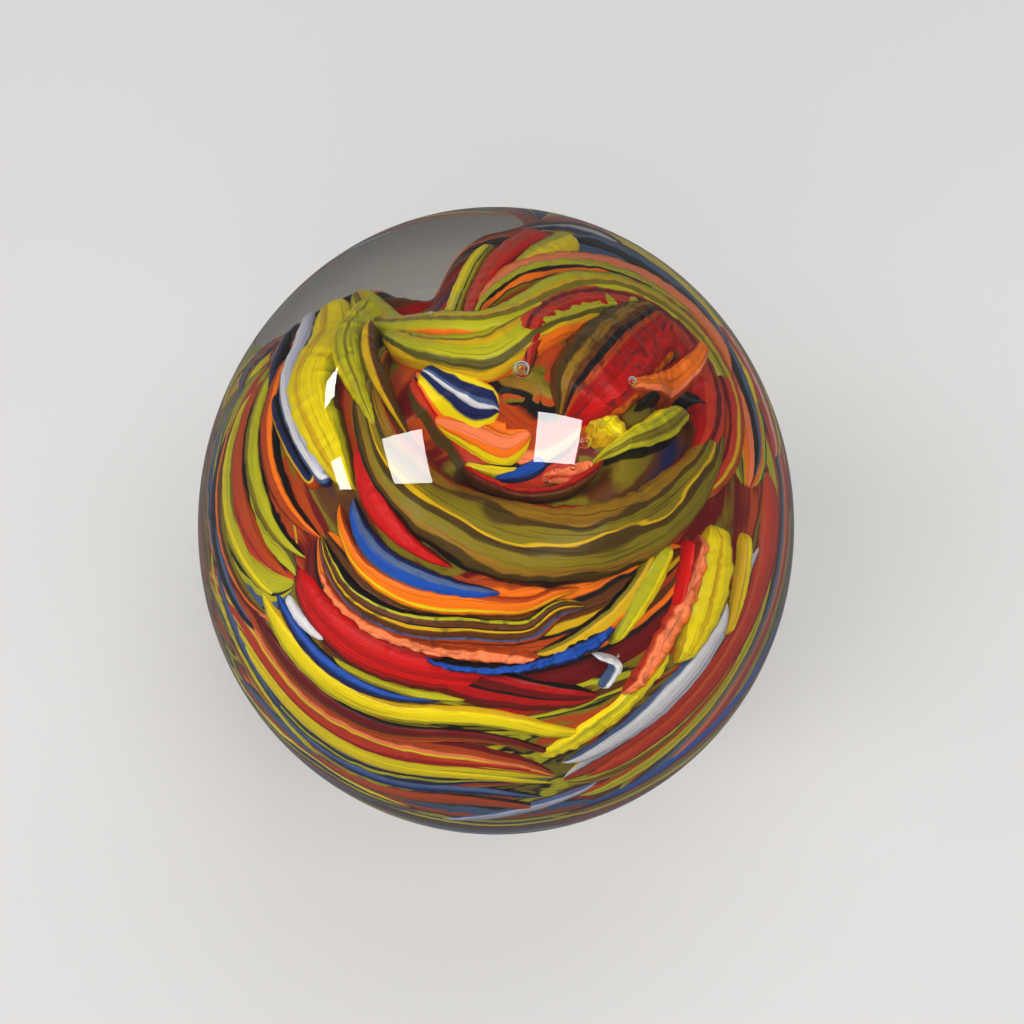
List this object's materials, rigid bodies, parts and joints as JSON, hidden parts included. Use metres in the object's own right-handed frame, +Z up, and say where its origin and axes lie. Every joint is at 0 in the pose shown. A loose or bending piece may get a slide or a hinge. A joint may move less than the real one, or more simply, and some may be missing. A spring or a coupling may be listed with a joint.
{
  "type": "glass egg paperweight",
  "caption": "Egg-shaped clear glass paperweight with a folded, streaked multicolour glass core and a flat ground foot.",
  "frame": {"origin": "centre of the flat foot, on the surface the egg stands on", "axes": "+Z up through the egg's rounded tip, -Y towards the side where the wide red band shows"},
  "size_m": [0.066, 0.066, 0.0705],
  "materials": {
    "clear_glass": "polished clear glass, foot ground flat",
    "colour_glass": "streaked opaque glass, mostly yellow with red, orange, blue, white and black"
  },
  "bodies": {
    "root": {"clear_casing": "clear_glass", "colour_core": "colour_glass"}
  },
  "joints": []
}
